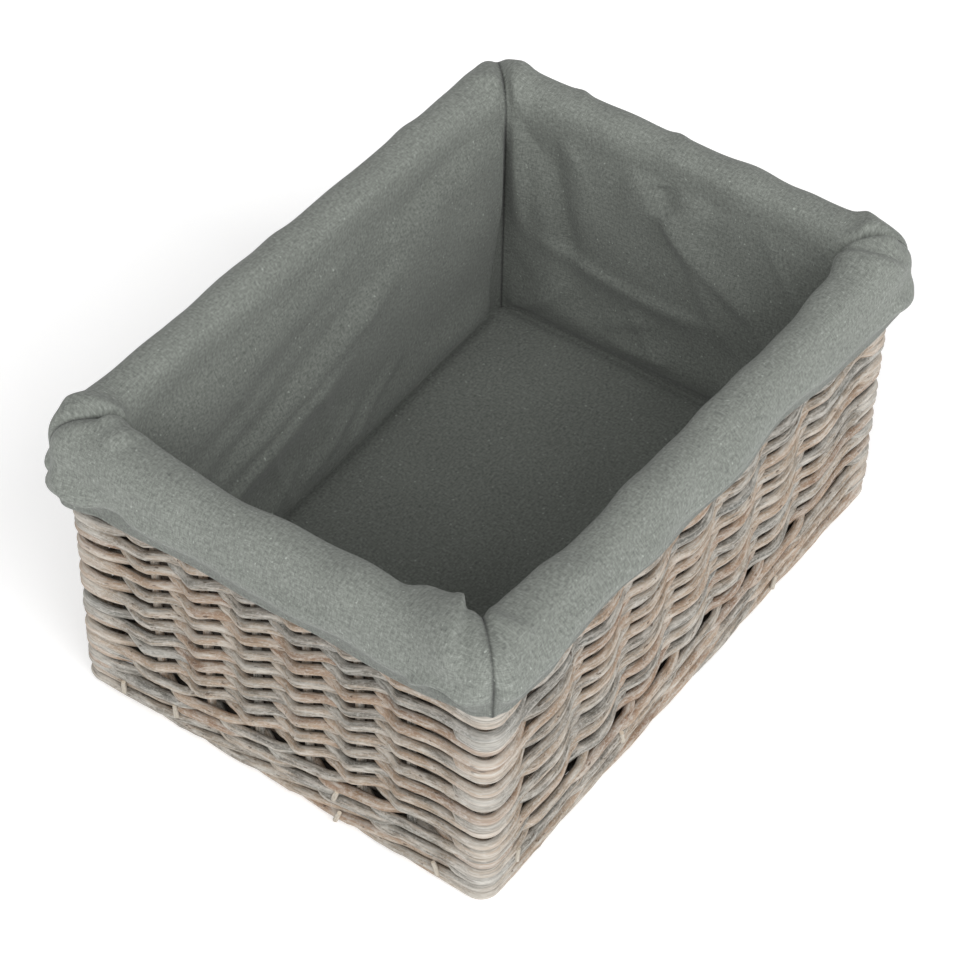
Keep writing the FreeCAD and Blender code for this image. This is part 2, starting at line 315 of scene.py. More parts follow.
class Course:
    """Strands that go round the basket together, each outside the stakes for part of its period."""

    def __init__(self, key, strands, height, out_middle, out_size, rise, radius):
        self.chance = Chance(key)
        self.key = key
        self.strands = strands
        self.height = height
        self.out_middle = out_middle
        self.out_size = out_size
        self.rise = rise
        self.radius = radius
        self.corner_out = None
        self.slack = 0.35 * MM

    def path(self, s, strand):
        """Outward and upward places of a strand, and its phase: 0 fully outside, half a turn inside."""
        phase = 2 * math.pi * (stake_number(s) + strand) / self.strands
        swing, lift = np.cos(phase), np.sin(phase)
        if self.strands == 2:
            swing = np.sign(swing) * np.abs(swing) ** TIGHTNESS
            lift = np.tanh(TIGHTNESS * lift) / math.tanh(TIGHTNESS)
        if self.strands == 3:
            swing = np.clip(-1 + 2.1 * smooth_step((swing + 1.05) / 1.75), -1, 1.08)
        out = self.out_middle + self.out_size * swing * self.at_stake_size(s)
        up = self.height + self.rise * lift + self.drift(s)
        if self.corner_out is not None:
            out, up = self.round_corner(s, strand, out, up)
        return out, up

    def round_corner(self, s, strand, out, up):
        """A strand that comes to a corner outside its last stake stays outside. The other slips out just
        before the post, under the first, or in every second course passes behind the post."""
        away = corner_distance(s)
        stake = np.floor(stake_number(s)).astype(int)
        outside = (stake + strand) % self.strands < self.strands / 2
        wide = 1 - smooth_step((np.abs(away) - 9 * MM) / (37 * MM))
        lip = smooth_step((away + 24 * MM) / (13 * MM)) * (1 - smooth_step((away - 9 * MM) / (37 * MM)))
        stays_in = ~outside & (self.key % 2 == 1)
        share = np.where(outside, wide, np.where(stays_in, 0.0, lip))
        out = out * (1 - share) + self.corner_out * share
        inner = wide * stays_in
        out = out * (1 - inner) - self.corner_out * inner
        return out, up - 0.6 * MM * lip * (~outside & ~stays_in)

    def settle(self):
        """Draws this course's own unevenness once, so that every strand of it shares it."""
        places = length_at(np.arange(len(PLACES)))
        self.drift_table = self.chance.wander(places, self.slack, 7)
        self.drift_table += self.chance.at_stakes(places, -0.6 * MM, 0.6 * MM)
        self.size_table = 1 + self.chance.at_stakes(places, -0.10, 0.08)

    def drift(self, s):
        return np.interp(np.mod(s, LAP), PLACES, self.drift_table, period=LAP)

    def at_stake_size(self, s):
        return np.interp(np.mod(s, LAP), PLACES, self.size_table, period=LAP)

    def weave(self, bundles, shortest=0.30, longest=0.62):
        """Lays every strand as a chain of rods, each starting and ending behind a stake."""
        self.settle()
        loops = math.gcd(STAKE_TOTAL, self.strands)
        laps = self.strands // loops
        for loop in range(loops):
            ends = self.rod_ends(loop, laps, shortest, longest)
            for start, end in zip(ends[:-1], ends[1:]):
                self.lay(bundles, loop, start, end)

    def rod_ends(self, strand, laps, shortest, longest):
        """Sample indices where one rod gives way to the next, each at a stake that the strand is behind."""
        behind = []
        for stake in range(STAKE_TOTAL * laps):
            phase = (stake + strand) / self.strands % 1
            if abs(phase - 0.5) <= 0.5 / self.strands + 1e-6:
                s = STAKES[stake % STAKE_TOTAL] + LAP * (stake // STAKE_TOTAL)
                lap = int(s // LAP)
                behind.append(lap * len(PLACES) + int(np.argmin(np.abs(PLACES - (s - lap * LAP)))))
        start = behind[int(self.chance.between(0, len(behind) / laps / 2))]
        finish = start + laps * len(PLACES)
        behind = [b for b in behind if b > start] + [b + laps * len(PLACES) for b in behind]
        ends = [start]
        target = length_at(np.array([start]))[0] + self.chance.between(shortest, longest)
        for place in behind:
            if place > finish - shortest / STRAIGHT_STEP:
                break
            if length_at(np.array([place]))[0] >= target:
                ends.append(place)
                target = length_at(np.array([place]))[0] + self.chance.between(shortest, longest)
        return ends + [finish]

    def lay(self, bundles, strand, start, end):
        """One rod from sample to sample, shared out between the sides and corners it passes."""
        tuck = 3
        index = np.arange(start - tuck, end + tuck + 1)
        s = length_at(index)
        out, up = self.path(s, strand)
        steps_in = np.minimum(index - index[0], index[-1] - index)
        tucked = 1 - smooth_step(steps_in / (2.0 * tuck))
        out = out - 1.6 * MM * tucked
        up = up + np.where(index < (start + end) / 2, 0.8, -0.8) * MM * tucked
        points, normal = stake_line(s)
        line = np.column_stack([points + normal * out[:, None], up])
        if self.corner_out is not None:
            line = cut_corners(line, s, out)
        outward = np.column_stack([normal, np.zeros(len(s))])
        # Painted shade: rods that pass behind the stakes are darkened by how far in they lie. Painted light
        # makes rods paler near the corners.
        near_corner = smooth_step(1.6 - np.abs(corner_distance(s)) / (14 * MM))
        painted_shading = smooth_step(-out / (5 * MM)) - 0.5 * near_corner
        radii = knotty(self.radius * self.chance.between(0.93, 1.07), s, self.chance)
        origin = self.chance.origin()
        tint = self.chance.between(0, 1)
        along = unit_steps(line)
        owners = OWNERS[index[:-1] % len(PLACES)]
        breaks = np.concatenate([[0], np.nonzero(np.diff(owners))[0] + 1, [len(owners)]])
        for a, b in zip(breaks[:-1], breaks[1:]):
            part = slice(a, b + 1)
            bundles[owners[a]].add(
                line[part],
                along[part],
                outward[part],
                radii[part],
                s[part],
                origin,
                tint,
                a == 0,
                b == len(owners),
                painted_shading[part],
            )


def unit_steps(line):
    """The direction of a line at each of its points."""
    steps = np.gradient(line, axis=0)
    return steps / np.linalg.norm(steps, axis=1)[:, None]


def cut_corners(line, s, out):
    """Where a rod passes inside a corner post, it runs straight across the corner behind the post."""
    away = corner_distance(s)
    behind = (np.abs(away) < BEHIND_POST) & (out < 0)
    edges = np.nonzero(np.diff(np.concatenate([[0], behind.astype(int), [0]])))[0]
    for start, end in zip(edges[::2], edges[1::2]):
        before, after = max(start - 1, 0), min(end, len(line) - 1)
        share = (s[start:end] - s[before]) / max(s[after] - s[before], 1e-9)
        line[start:end] = line[before] + (line[after] - line[before]) * share[:, None]
    return line


def straight_rod(
    bundle, start, end, radius, chance, wobble=0.5 * MM, steps=40, facing=(0, 0, 1), tint=None
):
    """A rod from point to point with a slight wobble of its own."""
    start, end = np.array(start, float), np.array(end, float)
    share = np.linspace(0, 1, steps + 1)
    line = start + (end - start) * share[:, None]
    length = np.linalg.norm(end - start)
    facing = np.array(facing, float)
    side = np.cross((end - start) / length, facing)
    lengths = share * length
    line += np.outer(wobble * np.sin(share * math.pi * chance.between(1, 3) + chance.between(0, 3)), facing)
    line += np.outer(wobble * np.sin(share * math.pi * chance.between(1, 3) + chance.between(0, 3)), side)
    radii = knotty(radius, lengths, chance)
    outward = np.tile(facing, (steps + 1, 1))
    if tint is None:
        tint = chance.between(0, 1)
    bundle.add(line, unit_steps(line), outward, radii, lengths, chance.origin(), tint, True, True)


# ---------------------------------------------------------------- materials


def linear(red, green, blue):
    """A colour given as 0 to 255 display values, for a shader socket."""
    values = [c / 255 for c in (red, green, blue)]
    return [c / 12.92 if c <= 0.04045 else ((c + 0.055) / 1.055) ** 2.4 for c in values] + [1.0]


class Nodes:
    """Short ways to build a material's node tree."""

    def __init__(self, name):
        self.material = bpy.data.materials.new(name)
        self.material.use_nodes = True
        self.tree = self.material.node_tree
        self.shader = self.tree.nodes["Principled BSDF"]

    def link(self, source, target):
        self.tree.links.new(source, target)

    def attribute(self, name, output):
        node = self.tree.nodes.new("ShaderNodeAttribute")
        node.attribute_name = name
        return node.outputs[output]

    def scaled(self, vector, scale):
        node = self.tree.nodes.new("ShaderNodeVectorMath")
        node.operation = "MULTIPLY"
        self.link(vector, node.inputs[0])
        node.inputs[1].default_value = scale
        return node.outputs[0]

    def noise(self, vector, scale, detail=3.0, roughness=0.55, output="Fac"):
        node = self.tree.nodes.new("ShaderNodeTexNoise")
        self.link(vector, node.inputs["Vector"])
        node.inputs["Scale"].default_value = scale
        node.inputs["Detail"].default_value = detail
        node.inputs["Roughness"].default_value = roughness
        return node.outputs[output]

    def ramp(self, value, stops, interpolation="LINEAR"):
        node = self.tree.nodes.new("ShaderNodeValToRGB")
        self.link(value, node.inputs[0])
        node.color_ramp.interpolation = interpolation
        elements = node.color_ramp.elements
        while len(elements) < len(stops):
            elements.new(0.5)
        for element, (place, colour) in zip(elements, stops):
            element.position = place
            element.color = colour
        return node.outputs[0]

    def spread(self, value, low, high, new_low, new_high):
        node = self.tree.nodes.new("ShaderNodeMapRange")
        self.link(value, node.inputs["Value"])
        node.inputs["From Min"].default_value = low
        node.inputs["From Max"].default_value = high
        node.inputs["To Min"].default_value = new_low
        node.inputs["To Max"].default_value = new_high
        return node.outputs[0]

    def sum(self, a, b, operation="ADD"):
        node = self.tree.nodes.new("ShaderNodeMath")
        node.operation = operation
        for socket, value in zip(node.inputs, (a, b)):
            if isinstance(value, (int, float)):
                socket.default_value = value
            else:
                self.link(value, socket)
        return node.outputs[0]

    def mix(self, share, a, b, blend="MIX"):
        node = self.tree.nodes.new("ShaderNodeMix")
        node.data_type = "RGBA"
        node.blend_type = blend
        for socket, value in zip((node.inputs[0], node.inputs[6], node.inputs[7]), (share, a, b)):
            if isinstance(value, (int, float, list, tuple)):
                socket.default_value = value
            else:
                self.link(value, socket)
        return node.outputs[2]

    def bump(self, height, distance, strength=1.0, normal=None):
        node = self.tree.nodes.new("ShaderNodeBump")
        node.inputs["Strength"].default_value = strength
        node.inputs["Distance"].default_value = distance
        self.link(height, node.inputs["Height"])
        if normal is not None:
            self.link(normal, node.inputs["Normal"])
        return node.outputs[0]


def willow(name):
    """Weathered, white-washed willow: tan and grey rods with streaks along their grain."""
    n = Nodes(name)
    grain = n.attribute("grain", "Vector")
    tint = n.attribute("tint", "Fac")
    streaks = n.noise(n.scaled(grain, (820, 820, 64)), 1.0, 4.0, 0.65)
    patches = n.noise(n.scaled(grain, (120, 120, 16)), 1.0, 3.0, 0.6)
    wash = n.noise(n.scaled(grain, (380, 380, 70)), 1.0, 5.0, 0.7)
    powder = n.noise(n.scaled(grain, (900, 900, 600)), 1.0, 2.0, 0.6)
    specks = n.noise(n.scaled(grain, (500, 500, 190)), 1.0, 2.0, 0.5)
    place = n.sum(n.sum(n.spread(tint, 0, 1, 0.16, 0.84), patches), 0.5, "SUBTRACT")
    place = n.sum(n.sum(place, streaks, "ADD"), 0.5, "SUBTRACT")
    body = n.ramp(
        place,
        [
            (0.05, linear(106, 108, 105)),
            (0.30, linear(133, 129, 122)),
            (0.52, linear(158, 145, 130)),
            (0.76, linear(163, 141, 121)),
            (0.97, linear(128, 103, 84)),
        ],
    )
    dark = n.ramp(streaks, [(0.32, linear(196, 186, 174)), (0.58, linear(255, 255, 255))])
    body = n.mix(1.0, body, dark, "MULTIPLY")
    body = n.mix(n.spread(wash, 0.44, 0.68, 0.0, 0.72), body, linear(199, 195, 187))
    body = n.mix(n.spread(powder, 0.50, 0.68, 0.0, 0.35), body, linear(203, 201, 195))
    body = n.mix(n.spread(specks, 0.66, 0.72, 0.0, 0.8), body, linear(78, 64, 54))
    painted_shading = n.attribute("painted_shading", "Fac")
    # Painted light: paler near the corners. Painted shade: dark brown where the rod lies behind the stakes.
    body = n.mix(n.spread(painted_shading, -0.5, 0.0, 0.16, 0.0), body, linear(226, 224, 218))
    body = n.mix(n.spread(painted_shading, 0.0, 1.0, 0.0, 0.78), body, linear(44, 36, 30))
    pith = n.spread(tint, -0.6, -0.4, 1.0, 0.0)
    body = n.mix(pith, body, linear(214, 202, 184))
    n.link(body, n.shader.inputs["Base Color"])
    n.link(n.spread(wash, 0.3, 0.8, 0.62, 0.86), n.shader.inputs["Roughness"])
    n.shader.inputs["Specular IOR Level"].default_value = 0.28
    n.link(n.bump(n.sum(streaks, wash), 0.6 * MM, 0.6), n.shader.inputs["Normal"])
    n.material.diffuse_color = linear(170, 158, 142)
    return n.material


def linen(name):
    """Grey-green cotton and linen cloth: a close plain weave with slubs and pale flecks."""
    n = Nodes(name)
    cloth = n.attribute("cloth", "Vector")
    warp = n.noise(n.scaled(cloth, (1500, 170, 1500)), 1.0, 3.0, 0.6)
    weft = n.noise(n.scaled(cloth, (170, 1500, 1500)), 1.0, 3.0, 0.6)
    heather = n.noise(n.scaled(cloth, (520, 520, 520)), 1.0, 4.0, 0.7)
    soft = n.noise(n.scaled(cloth, (22, 22, 22)), 1.0, 3.0, 0.5)
    flecks = n.noise(n.scaled(cloth, (430, 340, 430)), 1.0, 1.0, 0.4)
    threads = n.sum(n.sum(warp, weft), 0.5, "MULTIPLY")
    mixed = n.sum(n.sum(threads, 0.5, "MULTIPLY"), n.sum(heather, 0.5, "MULTIPLY"))
    body = n.ramp(
        mixed,
        [
            (0.36, linear(93, 96, 92)),
            (0.50, linear(122, 126, 120)),
            (0.64, linear(149, 153, 147)),
        ],
    )
    # The cloth's soft mottling, times the painted shade carried by the shade attribute.
    shade = n.sum(n.spread(soft, 0.3, 0.7, 0.95, 1.04), n.attribute("shade", "Fac"), "MULTIPLY")
    node = n.tree.nodes.new("ShaderNodeCombineColor")
    for socket in node.inputs[:3]:
        n.link(shade, socket)
    body = n.mix(1.0, body, node.outputs[0], "MULTIPLY")
    body = n.mix(n.spread(flecks, 0.72, 0.78, 0.0, 0.55), body, linear(178, 184, 176))
    n.link(body, n.shader.inputs["Base Color"])
    n.shader.inputs["Roughness"].default_value = 0.92
    n.shader.inputs["Specular IOR Level"].default_value = 0.12
    n.shader.inputs["Sheen Weight"].default_value = 0.12
    n.shader.inputs["Sheen Roughness"].default_value = 0.6
    n.link(n.bump(mixed, 0.35 * MM, 0.5), n.shader.inputs["Normal"])
    n.material.diffuse_color = linear(122, 128, 121)
    return n.material


def plain_floor():
    n = Nodes("studio_floor")
    n.shader.inputs["Base Color"].default_value = linear(250, 250, 250)
    n.shader.inputs["Roughness"].default_value = 0.9
    n.shader.inputs["Specular IOR Level"].default_value = 0.1
    n.shader.inputs["Emission Color"].default_value = (1, 1, 1, 1)
    n.shader.inputs["Emission Strength"].default_value = 0.3
    return n.material


# ---------------------------------------------------------------- camera and light


def direction(azimuth, elevation):
    """The way to a place seen at an azimuth from straight in front and an elevation, in degrees."""
    turn, lift = math.radians(azimuth), math.radians(elevation)
    return Vector((math.sin(turn) * math.cos(lift), -math.cos(turn) * math.cos(lift), math.sin(lift)))


def make_camera():
    """A long lens above the front left corner, rolled slightly clockwise."""
    distance, roll = 1.9515, math.radians(1.16)
    target = Vector((-3.7, 6.1, 89.9)) * MM
    away = direction(-55.04, 44.465)
    data = bpy.data.cameras.new("camera")
    data.lens = 116.3
    data.sensor_width = 36
    camera = bpy.data.objects.new("camera", data)
    bpy.context.scene.collection.objects.link(camera)
    camera.rotation_mode = "QUATERNION"
    camera.rotation_quaternion = away.to_track_quat("Z", "Y") @ Quaternion((0, 0, 1), roll)
    camera.location = target + away * distance
    bpy.context.scene.camera = camera


def soft_sun(name, azimuth, elevation, strength):
    """A wide, distant light: azimuth in degrees from straight in front, and elevation."""
    data = bpy.data.lights.new(name, "SUN")
    data.angle = math.radians(50)
    data.energy = strength
    lamp = bpy.data.objects.new(name, data)
    bpy.context.scene.collection.objects.link(lamp)
    lamp.rotation_mode = "QUATERNION"
    lamp.rotation_quaternion = direction(azimuth, elevation).to_track_quat("Z", "Y")


def make_studio():
    """A pale floor under soft, nearly even light."""
    scene = bpy.context.scene
    scene.view_settings.view_transform = "Standard"
    world = bpy.data.worlds.new("studio")
    scene.world = world
    world.use_nodes = True
    background = world.node_tree.nodes["Background"]
    background.inputs["Color"].default_value = (1, 1, 1, 1)
    background.inputs["Strength"].default_value = 0.4
    soft_sun("left", -80, 33, 1.3)
    soft_sun("front", -14, 33, 1.95)
    mesh = bpy.data.meshes.new("floor")
    reach = 12.0
    corners = [(-reach, -reach, 0), (reach, -reach, 0), (reach, reach, 0), (-reach, reach, 0)]
    mesh.from_pydata(corners, [], [(0, 1, 2, 3)])
    mesh.materials.append(plain_floor())
    floor = bpy.data.objects.new("floor", mesh)
    scene.collection.objects.link(floor)


# ---------------------------------------------------------------- wicker


# Pale stub ends of cut rods: side, place along it from its middle, height.
PEGS = (
    (3, -121 * MM, 14 * MM),
    (3, -79 * MM, 20 * MM),
    (3, 45 * MM, 28 * MM),
    (3, 46 * MM, 9 * MM),
    (3, 119 * MM, 14 * MM),
    (0, -190 * MM, 24 * MM),
    (0, -80 * MM, 27 * MM),
    (0, 96 * MM, 15 * MM),
    (1, -60 * MM, 16 * MM),
    (2, 110 * MM, 22 * MM),
)


def side_bundles():
    """One empty bundle for each side and corner."""
    return [Bundle() for _ in OWNER_NAMES]


def make_walls(weave):
    """The rods that go round the basket: foot, wales, paired rows, border."""
    body = "basket"
    foot = side_bundles()
    Course(1, 5, 9.2 * MM, 1.2 * MM, 5.2 * MM, 5.6 * MM, 3.1 * MM).weave(foot)
    chance = Chance(2)
    for side, along, height in PEGS:
        place = np.array([SIDE_STARTS[side] + SIDE_HALVES[side] + along])
        (x, y), (nx, ny) = (v[0] for v in stake_line(place))
        x, y = x + nx * 9.4 * MM, y + ny * 9.4 * MM
        lean = chance.between(-2, 2) * MM
        low = (x - ny * lean, y + nx * lean, height - 5 * MM)
        high = (x + ny * lean, y - nx * lean, height + 4 * MM)
        straight_rod(foot[side], low, high, 1.5 * MM, chance, 0.1 * MM, 6, (nx, ny, 0), tint=-0.48)

    lower = side_bundles()
    for k in range(2):
        course = Course(10 + k, 3, (23.4 + 12 * k) * MM, 0, WEAVE_OUT, 3.4 * MM, ROD)
        course.corner_out = WEAVE_OUT
        course.weave(lower)

    rows = side_bundles()
    for k in range(PAIR_COURSES):
        height = FIRST_PAIR + k * COURSE_PITCH
        course = Course(20 + k, 2, height, 0, WEAVE_OUT, PAIR_RISE, ROD)
        course.corner_out = WEAVE_OUT
        course.weave(rows)

    upper = side_bundles()
    course = Course(50, 3, 194.4 * MM, 0, WEAVE_OUT, 3.4 * MM, ROD)
    course.corner_out = WEAVE_OUT
    course.weave(upper)

    border = side_bundles()
    course = Course(60, 6, 210.2 * MM, 2.6 * MM, 8.6 * MM, 3.0 * MM, 2.8 * MM)
    course.slack = 0.1 * MM
    course.weave(border)

    for owner, name in enumerate(SIDE_NAMES):
        foot[owner].make("foot_" + name, weave, body, "willow_weave", ["foot_border_" + name])
        lower[owner].make("wale_" + name, weave, body, "willow_weave", ["lower_wale_" + name])
        rows[owner].make("weave_" + name, weave, body, "willow_weave", ["side_weave_" + name])
        upper[owner].make("top_wale_" + name, weave, body, "willow_weave", ["upper_wale_" + name])
        border[owner].make("border_" + name, weave, body, "willow_weave", ["top_border_" + name])
    for k, name in enumerate(CORNER_NAMES):
        owner = 4 + k
        corner = Bundle()
        for bundle in (foot[owner], lower[owner], rows[owner], upper[owner]):
            for quads in bundle.faces:
                corner.faces.append(quads + corner.count)
            corner.points += bundle.points
            corner.normals += bundle.normals
            corner.grain += bundle.grain
            corner.tint += bundle.tint
            corner.painted_shading += bundle.painted_shading
            corner.count += bundle.count
        corner.make("weave_corner_" + name, weave, body, "willow_weave", ["corner_weave_" + name])
        stands_for = ["top_border_corner_" + name]
        border[owner].make("border_corner_" + name, weave, body, "willow_weave", stands_for)


def make_uprights(upright):
    """Stakes along the sides and a thicker post in each corner."""
    chance = Chance(200)
    for side, name in enumerate(SIDE_NAMES):
        bundle = Bundle()
        first = sum(STAKE_COUNTS[:side])
        for s in STAKES[first : first + STAKE_COUNTS[side]]:
            (x, y), (nx, ny) = (v[0] for v in stake_line(np.array([s])))
            lean = chance.between(-0.8, 0.8) * MM
            straight_rod(
                bundle,
                (x - ny * lean, y + nx * lean, 3 * MM),
                (x + ny * lean, y - nx * lean, STAKE_TOP),
                STAKE * 0.96,
                chance,
                facing=(nx, ny, 0),
            )
        bundle.make("uprights_" + name, upright, "basket", "willow_upright", ["stakes_" + name])
    for (x, y), name in zip(POSTS, CORNER_NAMES):
        bundle = Bundle()
        facing = (math.copysign(math.sqrt(0.5), x), math.copysign(math.sqrt(0.5), y), 0)
        straight_rod(bundle, (x, y, 3 * MM), (x, y, STAKE_TOP), POST * 0.95, chance, facing=facing)
        bundle.make("post_" + name, upright, "basket", "willow_upright", ["corner_post_" + name])


def make_base(weave, upright):
    """The woven bottom: sticks along the basket and thin rods over and under them."""
    chance = Chance(300)
    low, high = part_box("base_sticks")
    level = (low.z + high.z) / 2
    stick = (high.z - low.z) / 2
    count = 9
    spacing = (high.y - low.y - 2 * stick) / (count - 1)
    sticks = Bundle()
    for i in range(count):
        y = (i - (count - 1) / 2) * spacing
        straight_rod(sticks, (low.x, y, level), (high.x, y, level), stick * 0.97, chance, 0.3 * MM, 90)
    sticks.make("floor_sticks", upright, "basket", "willow_upright", ["base_sticks"])

    low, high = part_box("base_weavers")
    thin = 2.2 * MM
    lift = (high.z - low.z) / 2 - thin
    pitch = 4.8 * MM
    weavers = Bundle()
    rows = round((high.x - low.x - 2 * thin) / pitch)
    for i in range(rows + 1):
        x = (i - rows / 2) * pitch
        y = np.linspace(low.y, high.y, 84)
        swing = np.cos(math.pi * (y / spacing + i))
        line = np.column_stack([x + 0.35 * MM * np.sin(y * 40 + i), y, level + lift * 0.94 * swing])
        facing = np.tile((0.0, 0.0, 1.0), (len(y), 1))
        radii = knotty(thin * 0.97, y, chance)
        tint = chance.between(0, 1)
        weavers.add(line, unit_steps(line), facing, radii, y, chance.origin(), tint, True, True)
    weavers.make("floor_weave", weave, "basket", "willow_weave", ["base_weavers"])


# ---------------------------------------------------------------- liner

CLOTH = 1.0 * MM
CUFF_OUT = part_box("liner_cuff_right")[1].x - HALF_LENGTH
WALL_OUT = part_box("liner_wall_right")[0].x - HALF_LENGTH
WALL_TOP_EASE = 2.6 * MM
SHOULDER = RIM_TOP - 20 * MM
INNER_RADIUS = 13 * MM
GRID = 1.8 * MM
WALL_ROWS, RIM_ROWS, CUFF_ROWS = 100, 34, 22
WALL_LENGTH = SHOULDER - FLOOR_TOP
RIM_LENGTH = 56 * MM
HEM_BAND = 14 * MM
FLOOR_RISE, FLOOR_RISE_START, FLOOR_RISE_RUN = 12 * MM, -60 * MM, 270 * MM
RIM_INSIDE_POWER, RIM_OUTSIDE_POWER = 2 / 2.2, 2 / 2.4

# Height of the cuff's hem, in mm: at the corner where each side starts, and at places along each side
# from -1 at its start to 1 at its end.
CORNER_HEMS = (177, 166, 169, 161)
SIDE_HEMS = (
    (
        (-0.90, 176), (-0.80, 177), (-0.72, 184), (-0.50, 181),
        (-0.16, 176), (0.08, 176), (0.30, 180), (0.62, 172),
    ),
    ((-0.50, 168), (0.10, 171), (0.60, 168)),
    ((-0.60, 170), (0.00, 168), (0.50, 171)),
    ((-0.70, 169), (0.00, 171), (0.70, 171), (0.90, 176)),
)

# How far the rim's inner edge leans in over the basket, in mm, given in the same way.
CORNER_LEANS = (2, 1, 0, 1)
SIDE_LEANS = (
    ((-0.90, 5), (-0.40, 1), (0.00, 2.5), (0.42, 0), (0.75, 3)),
    ((-0.60, 1), (-0.10, 3), (0.30, 0), (0.70, 2)),
    ((-0.70, 1), (-0.20, 2.5), (0.20, 0), (0.60, 2)),
    ((-0.80, 5), (-0.22, 0), (0.25, 3.5), (0.60, 3), (0.72, 7), (0.84, 1)),
)


def along_side(side, u, sides, corners):
    """A value eased between the places given for one side and its two corners."""
    places = [-1.0] + [p for p, value in sides[side]] + [1.0]
    values = [corners[side]] + [value for p, value in sides[side]] + [corners[(side + 1) % 4]]
    cell = np.clip(np.searchsorted(places, u, side="right") - 1, 0, len(places) - 2)
    places, values = np.array(places), np.array(values)
    part = smooth_step((u - places[cell]) / (places[cell + 1] - places[cell]))
    return values[cell] * (1 - part) + values[cell + 1] * part


def floor_height(x):
    """The cloth floor lies flat at the left end and rises towards the right."""
    return FLOOR_TOP + FLOOR_RISE * smooth_step((x - FLOOR_RISE_START) / FLOOR_RISE_RUN)


def panel_points(side, u):
    """The smooth surface of one side's panel, rows up the wall, over the rim and down the cuff, and each
    point's place: distance along the side, length up the cloth and share of the wall's height."""
    half = (HALF_LENGTH, HALF_WIDTH)[side % 2]
    other = (HALF_LENGTH, HALF_WIDTH)[(side + 1) % 2]
    hem = along_side(side, u, SIDE_HEMS, CORNER_HEMS) * MM
    lean = along_side(side, u, SIDE_LEANS, CORNER_LEANS) * MM
    wall = np.linspace(0, 1, WALL_ROWS, endpoint=False)[:, None]
    rim = np.linspace(0, math.pi, RIM_ROWS)[:, None]
    cuff = np.linspace(0, 1, CUFF_ROWS + 1)[1:, None]
    one = np.ones((1, len(u)))

    from_corner = (1 - np.abs(u)) * half
    wall_top_out = WALL_OUT + WALL_TOP_EASE * smooth_step((from_corner - 10 * MM) / (40 * MM))
    wall_out = WALL_OUT + (wall_top_out - WALL_OUT) * wall**2
    middle_out, reach = (wall_top_out + CUFF_OUT) / 2, (CUFF_OUT - wall_top_out) / 2
    across, rise = -np.cos(rim), np.sin(rim)
    square = np.where(across < 0, RIM_INSIDE_POWER, RIM_OUTSIDE_POWER)
    rim_out = middle_out + reach * np.sign(across) * np.abs(across) ** square
    rim_up = (SHOULDER + (RIM_TOP - SHOULDER) * np.abs(rise) ** square) * one
    inner = np.exp(-(((rim - 0.95) / 0.45) ** 2)) * lean
    rim_out = rim_out - inner
    cuff_out = CUFF_OUT * np.ones((CUFF_ROWS, len(u)))
    cuff_up = SHOULDER + (hem - SHOULDER) * cuff

    share = np.concatenate([wall * 0, rim / math.pi, cuff * 0 + 1]) * one
    radius = INNER_RADIUS + (CORNER_RADIUS + CUFF_OUT - INNER_RADIUS) * smooth_step(share)
    out = np.concatenate([wall_out, rim_out, cuff_out])
    straight = half + out - radius
    run = u[None, :] * (straight + radius * math.pi / 4)
    angle = np.clip(np.abs(run) - straight, 0, None) / radius * np.sign(run)
    along = np.clip(run, -straight, straight) + radius * np.sin(angle)
    away = other + out - radius + radius * np.cos(angle)
    heading = side * math.pi / 2
    x = math.cos(heading) * along + math.sin(heading) * away
    y = math.sin(heading) * along - math.cos(heading) * away
    low = floor_height(x[:WALL_ROWS])
    wall_up = low + (SHOULDER - low) * wall
    up = np.concatenate([wall_up, rim_up, cuff_up])
    wall_length = wall * WALL_LENGTH * one
    rim_length = WALL_LENGTH + share[WALL_ROWS:-CUFF_ROWS] * RIM_LENGTH
    length = np.concatenate([wall_length, rim_length, WALL_LENGTH + RIM_LENGTH + SHOULDER - cuff_up])
    high = np.concatenate([wall * one, rim * 0 + one, cuff * 0 + one])
    return np.stack([x, y, up], axis=2), run, along, length, high


def surface_normals(points):
    """Normals of a grid of points, on the cloth's open side."""
    du = np.gradient(points, axis=1)
    dv = np.gradient(points, axis=0)
    normal = np.cross(dv, du)
    return normal / np.maximum(np.linalg.norm(normal, axis=2), 1e-12)[:, :, None]


def waves(a, b, chance, count, shortest, longest, tilt, spread):
    """Soft ripples: a sum of long waves whose crests run near one slope."""
    total = np.zeros_like(a)
    for _ in range(count):
        slope = tilt + spread * chance.between(-1, 1)
        length = chance.between(shortest, longest)
        phase = chance.between(0, 2 * math.pi)
        total += np.sin(2 * math.pi * (a * math.sin(slope) - b * math.cos(slope)) / length + phase)
    return total / math.sqrt(count)


def creases(a, b, chance, count, shortest, longest, tilt, spread):
    """Like waves, but with narrow crests and broad hollows between them, from 0 to 1."""
    ripple = waves(a, b, chance, count, shortest, longest, tilt, spread)
    patches = np.tanh(2 * waves(a, b, chance, 3, 0.09, 0.2, tilt, 2.0))
    return np.exp(-((ripple / 0.35) ** 2)) * (0.5 + 0.5 * patches)


def fold(a, b, start, end, left, right, height, bow=0.0):
    """A crease or ridge from start to end, in mm: its width differs to the left and right of its line,
    it may bow to one side, and it fades at both ends."""
    (a0, b0), (a1, b1) = start, end
    a, b = a / MM, b / MM
    length = math.hypot(a1 - a0, b1 - b0)
    along = ((a - a0) * (a1 - a0) + (b - b0) * (b1 - b0)) / length / length
    off = ((b - b0) * (a1 - a0) - (a - a0) * (b1 - b0)) / length
    off = off - bow * np.sin(math.pi * np.clip(along, 0, 1))
    width = np.where(off > 0, left, right)
    fade = smooth_step((along + 0.12) / 0.3) * smooth_step((1.12 - along) / 0.3)
    return height * MM * np.exp(-((off / width) ** 2)) * fade


